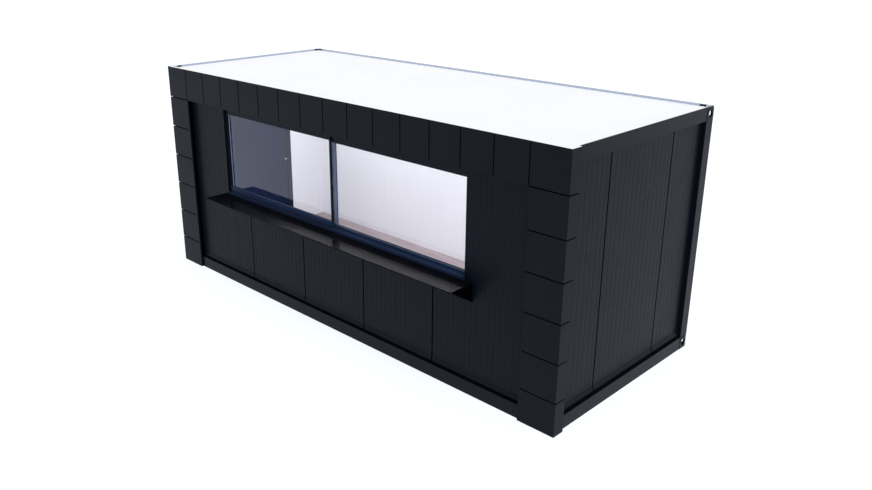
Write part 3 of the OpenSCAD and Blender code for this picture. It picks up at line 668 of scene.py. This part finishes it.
# Drip edges under the bottom rails
EDGE_FOOT, EDGE_THICK, EDGE_DEEP = 0.0015, 0.0015, 0.012
m = bmesh.new()
for axis, out, face, run, foot, _ in RAILS:
    prism(m, [(face, foot), (face, EDGE_FOOT), (face - out * EDGE_THICK, EDGE_FOOT),
              (face - out * EDGE_DEEP, foot)], axis, *run)
piece("drip_edges", m, FRAME)


# Roof edges and rail seals

FLASHING = 0.0012


def folded_edge(mesh, axis, face, out, run, foot, top, lip, sheet=FLASHING):
    """A folded strip along an axis: a leg down an outer face, and a lip over the top."""
    leg, end = face + out * sheet, face - out * lip
    outline = [(leg, foot), (leg, top + sheet), (end, top + sheet), (end, top), (face, top), (face, foot)]
    prism(mesh, outline, axis, *run)


ROOF_LOW, ROOF_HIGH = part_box("roof_panel")
RIM_LOW, RIM_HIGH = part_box("roof_rim")
RIM_X, RIM_REAR, TOP = ROOF_HIGH.x, ROOF_HIGH.y, RIM_HIGH.z
RETURN_Y = RIM_LOW.y + 0.14             # where the portal's return ends
RIM_LEG, RIM_LIP = TOP - 0.0265, 0.009
PORTAL_LEG, PORTAL_LIP = TOP - 0.0045, 0.004
m = bmesh.new()
for side in (-1, 1):
    folded_edge(m, "y", side * RIM_X, side, (RETURN_Y, RIM_REAR), RIM_LEG, TOP, RIM_LIP)
    folded_edge(m, "y", side * RIM_HIGH.x, side, (RIM_LOW.y, RETURN_Y), PORTAL_LEG, TOP, PORTAL_LIP)
folded_edge(m, "x", RIM_REAR, 1, (-RIM_X - FLASHING, RIM_X + FLASHING), RIM_LEG, TOP, RIM_LIP)
folded_edge(m, "x", RIM_LOW.y, -1, (-RIM_HIGH.x - FLASHING, RIM_HIGH.x + FLASHING),
            PORTAL_LEG, TOP, PORTAL_LIP)
piece("roof_edge_flashing", m, FRAME)

# Black strip over the top edge of the bottom rails, under the walls: a painted shadow line where the walls
# meet the rails
SHADOW_STRIP_DEEP, SHADOW_STRIP_LIP, SHADOW_STRIP_THICK = 0.011, 0.004, 0.0008
m = bmesh.new()
for axis, out, face, run, _, top in RAILS:
    folded_edge(m, axis, face, out, run, top - SHADOW_STRIP_DEEP, top, SHADOW_STRIP_LIP, SHADOW_STRIP_THICK)
piece("rail_painted_shadow_strips", m, SEALANT_AND_PAINTED_SHADOW)

# Blue-grey strips up the inner faces of the white rim, a painted shade, left off at the drains: (off the
# face, height) pairs
RIM_WIDE = 0.018
RIM_IN_X, RIM_IN_FRONT, RIM_IN_REAR = RIM_X - RIM_WIDE, ROOF_LOW.y + RIM_WIDE, RIM_REAR - RIM_WIDE
DRAINS_X = ((-2.968, -2.888), (2.862, 2.928))
DRAINS_Y = ((-0.986, -0.926), (1.228, 1.297))
STRIP_FOOT, STRIP_TOP = TOP - 0.0185, TOP - 0.0008
STRIP = [(0, STRIP_FOOT), (0.004, STRIP_FOOT), (0.0015, STRIP_FOOT + 0.004),
         (0.0012, STRIP_TOP), (0, STRIP_TOP)]
m = bmesh.new()
for run in spans(-RIM_IN_X, RIM_IN_X, DRAINS_X):
    prism(m, [(RIM_IN_REAR - u, z) for u, z in STRIP], "x", *run)
    prism(m, [(RIM_IN_FRONT + u, z) for u, z in STRIP], "x", *run)
for run in spans(RIM_IN_FRONT, RIM_IN_REAR, DRAINS_Y):
    prism(m, [(RIM_IN_X - u, z) for u, z in STRIP], "y", *run)
    prism(m, [(-RIM_IN_X + u, z) for u, z in STRIP], "y", *run)
piece("rim_painted_shade", m, RIM_PAINTED_SHADE)

# Black covers over the drains in the corners of the rim, with a lip over the rear and left rims
COVER_FACE = [(0, STRIP_FOOT), (0.004, STRIP_FOOT), (0.004, TOP - 0.006)]
COVER = COVER_FACE + [(0.002, TOP + 0.0008), (-0.004, TOP + 0.0008), (-0.004, TOP), (0, TOP)]
LOW_COVER = COVER_FACE + [(0.002, TOP - 0.001), (0, TOP - 0.001)]
m = bmesh.new()
for run in DRAINS_X:
    prism(m, [(RIM_IN_REAR - u, z) for u, z in COVER], "x", *run)
    prism(m, [(RIM_IN_FRONT + u, z) for u, z in LOW_COVER], "x", *run)
for run in DRAINS_Y:
    prism(m, [(RIM_IN_X - u, z) for u, z in LOW_COVER], "y", *run)
    prism(m, [(-RIM_IN_X + u, z) for u, z in COVER], "y", *run)
piece("drain_covers", m, RUBBER)

# Dome screws along the flashing: (radius, height) pairs
DOME = [(0.0062, 0.0), (0.0062, 0.0009), (0.0042, 0.0009), (0.0041, 0.0022), (0.003, 0.0034), (0.0012, 0.004)]
DOME_SIDES, SCREW_Z = 12, TOP - 0.012
REAR_SCREWS, REAR_SCREW_X, REAR_SCREW_STEP = 13, -2.88, 0.48
END_SCREWS, END_SCREW_Y, END_SCREW_STEP = 5, -0.85, 0.51
m = bmesh.new()
for i in range(REAR_SCREWS):
    lathe(m, DOME, (REAR_SCREW_X + i * REAR_SCREW_STEP, RIM_REAR + FLASHING, SCREW_Z), (0, 1, 0), DOME_SIDES)
for i in range(END_SCREWS):
    for side in (-1, 1):
        place = (side * (RIM_X + FLASHING), END_SCREW_Y + i * END_SCREW_STEP, SCREW_Z)
        lathe(m, DOME, place, (side, 0, 0), DOME_SIDES)
piece("flashing_screws", m, FRAME, smooth=True)


# Door

LEAF_LOW, LEAF_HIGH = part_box("door_leaf")
HANDLE_LOW, HANDLE_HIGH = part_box("door_handles")
PIVOT_Y, PIVOT_Z = LEAF_HIGH.y - 0.055, (HANDLE_LOW.z + HANDLE_HIGH.z) / 2
LOCK_Z = PIVOT_Z - 0.075
INWARDS, OUTWARDS = (1, 0, 0), (-1, 0, 0)

# Pale caps on the pivots of the levers
CAP = [(0.0122, -0.002), (0.0122, 0.001), (0.0108, 0.0026), (0.007, 0.004), (0.003, 0.0045), (0.0005, 0.0046)]
m = bmesh.new()
lathe(m, CAP, (HANDLE_HIGH.x, PIVOT_Y, PIVOT_Z), INWARDS, sides=24)
lathe(m, CAP, (HANDLE_LOW.x, PIVOT_Y, PIVOT_Z), OUTWARDS, sides=24)
piece("handle_caps", m, ALUMINIUM, DOOR, smooth=True)

# Lock under the levers: a cylinder outside, a thumb turn inside, and a rose for each
BARREL = [(0.0085, 0.0), (0.0085, 0.011), (0.0078, 0.012)]
m = bmesh.new()
lathe(m, BARREL + [(0.0022, 0.012), (0.0022, 0.0105)], (LEAF_LOW.x, PIVOT_Y, LOCK_Z), OUTWARDS, sides=20)
piece("lock_cylinder", m, STEEL, DOOR)

WING = [(-0.003, -0.011), (0.003, -0.011), (0.0038, 0.0), (0.003, 0.011), (-0.003, 0.011), (-0.0038, 0.0)]
m = bmesh.new()
lathe(m, BARREL + [(0.001, 0.012)], (LEAF_HIGH.x, PIVOT_Y, LOCK_Z), INWARDS, sides=20)
prism(m, [(PIVOT_Y + u, LOCK_Z + v) for u, v in WING], "x", LEAF_HIGH.x + 0.0115, LEAF_HIGH.x + 0.023)
piece("thumb_turn", m, DOORS, DOOR, bevel=0.0012)

ROSE = [(0.025, 0.0), (0.025, 0.006), (0.0235, 0.008), (0.0105, 0.008), (0.0095, 0.007)]
m = bmesh.new()
for x, normal in ((LEAF_LOW.x, OUTWARDS), (LEAF_HIGH.x, INWARDS)):
    lathe(m, ROSE, (x, PIVOT_Y, LOCK_Z), normal, sides=28)
piece("lock_roses", m, DOORS, DOOR)

# Pressed border and bottom drip on the outside of the leaf
BORDER = [(0, 0), (0.004, 0.0022), (0.018, 0.0022), (0.022, 0)]
LEAF_DRIP = [(0.0, 0.03), (0.004, 0.028), (0.018, 0.016), (0.0175, 0.0135), (0.0, 0.02)]
BORDER_HINGE, BORDER_LOCK, BORDER_END, DRIP_INSET = 0.09, 0.11, 0.13, 0.02
m = bmesh.new()
loop(m, LEAF_LOW.x, -1, (LEAF_LOW.y + BORDER_HINGE, LEAF_LOW.z + BORDER_END),
     (LEAF_HIGH.y - BORDER_LOCK, LEAF_HIGH.z - BORDER_END), BORDER)
prism(m, [(LEAF_LOW.x - u, LEAF_LOW.z + v) for u, v in LEAF_DRIP],
      "y", LEAF_LOW.y + DRIP_INSET, LEAF_HIGH.y - DRIP_INSET)
piece("leaf_pressing_and_drip", m, DOORS, DOOR)

# Rubber seal round the inner face of the leaf, against the stop
SEAL = [(0, 0), (0.0055, 0), (0.005, 0.0007), (0.0028, 0.0012), (0.0006, 0.0007)]
SEAL_INSET = 0.0035
m = bmesh.new()
loop(m, LEAF_HIGH.x, 1, (LEAF_LOW.y + SEAL_INSET, LEAF_LOW.z + 0.004),
     (LEAF_HIGH.y - SEAL_INSET, LEAF_HIGH.z - SEAL_INSET), SEAL)
piece("leaf_seal", m, RUBBER, DOOR)

# Countersunk screws in the hinge plates
FLUSH = [(0.0046, 0.0), (0.0044, 0.0004), (0.0018, 0.0004), (0.0016, -0.0002)]
PLATE_X, SCREW_INSET = LEAF_LOW.x - 0.003, 0.009
HINGES, PLATE_SCREWS = (0.409, 1.154, 1.9), (-0.036, -0.012, 0.012, 0.036)
for name, y, body in (
    ("frame_hinge_screws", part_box("frame_hinge_halves")[0].y + SCREW_INSET, CABIN),
    ("leaf_hinge_screws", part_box("leaf_hinge_halves")[1].y - SCREW_INSET, DOOR),
):
    m = bmesh.new()
    for z in HINGES:
        for step in PLATE_SCREWS:
            lathe(m, FLUSH, (PLATE_X, y, z + step), OUTWARDS, sides=12)
    piece(name, m, STEEL, body)

# Ribs along the threshold
RIB = [(-0.0022, 0.0), (-0.001, 0.0012), (0.001, 0.0012), (0.0022, 0.0)]
RIBS, RIB_INSET, RIB_END = 6, 0.008, 0.004
low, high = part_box("door_threshold")
m = bmesh.new()
for i in range(RIBS):
    x = low.x + RIB_INSET + i * (high.x - low.x - 2 * RIB_INSET) / (RIBS - 1)
    prism(m, [(x + u, high.z + v) for u, v in RIB], "y", low.y + RIB_END, high.y - RIB_END)
piece("threshold_ribs", m, ALUMINIUM)


# Camera, light and floor

camera = bpy.data.cameras.new("camera")
camera.sensor_width = 36.0
camera.lens = 34.309
camera.shift_x = 0.0329
camera.shift_y = -0.0203
camera.clip_end = 400.0
viewer = bpy.data.objects.new("camera", camera)
viewer.location = (6.5166, -6.4085, 4.1565)
viewer.rotation_euler = (math.radians(70.541), 0.0, math.radians(44.896))
scene.collection.objects.link(viewer)
scene.camera = viewer

world = bpy.data.worlds.new("studio")
scene.world = world
world.use_nodes = True
back = world.node_tree.nodes["Background"]
back.inputs["Color"].default_value = (0.84, 0.875, 0.945, 1.0)
back.inputs["Strength"].default_value = 0.9

scene.view_settings.view_transform = "Standard"
scene.view_settings.look = "None"


def lamp(name, kind, energy, colour, place, aim, **settings):
    data = bpy.data.lights.new(name, kind)
    data.energy = energy
    data.color = colour
    for key, value in settings.items():
        setattr(data, key, value)
    obj = bpy.data.objects.new(name, data)
    obj.location = place
    obj.rotation_euler = (Vector(aim) - Vector(place)).to_track_quat("-Z", "Y").to_euler()
    scene.collection.objects.link(obj)


lamp("key", "SUN", 1.4, (1.0, 0.97, 0.93), place=(3.0, -2.0, 10.0), aim=(0, 0, 0), angle=math.radians(40))
lamp("room", "AREA", 86.5, (0.97, 0.98, 1.0), place=(-0.06, 0.16, 2.43), aim=(-0.06, 0.16, 0.0),
     shape="RECTANGLE", size=5.45, size_y=1.9, spread=math.radians(145))

# Pale floor: a disc of rings round the middle, just under the feet
FLOOR_SIDES, FLOOR_RINGS, FLOOR_LEVEL = 48, (6.0, 20.0, 60.0, 200.0), -0.0005
ground = bmesh.new()
middle = ground.verts.new((0.0, 0.0, FLOOR_LEVEL))
angles = [2 * math.pi * i / FLOOR_SIDES for i in range(FLOOR_SIDES)]
rings = [[ground.verts.new((radius * math.cos(a), radius * math.sin(a), FLOOR_LEVEL)) for a in angles]
         for radius in FLOOR_RINGS]
for i in range(FLOOR_SIDES):
    ground.faces.new((middle, rings[0][i], rings[0][(i + 1) % FLOOR_SIDES]))
for a, b in zip(rings, rings[1:]):
    for i in range(FLOOR_SIDES):
        j = (i + 1) % FLOOR_SIDES
        ground.faces.new((a[i], b[i], b[j], a[j]))
data = bpy.data.meshes.new("ground")
ground.to_mesh(data)
ground.free()
floor = bpy.data.objects.new("ground", data)
scene.collection.objects.link(floor)
s = Shader("pale_floor").set(Roughness=0.9, Specular_IOR_Level=0.1, Emission_Strength=0.82)
s.set(Emission_Color=(0.98, 1.03, 1.13, 1.0))
floor.data.materials.append(s.finish(s.drift(s.noise(scale=0.4), (0.21, 0.21, 0.21), (0.23, 0.23, 0.23))))
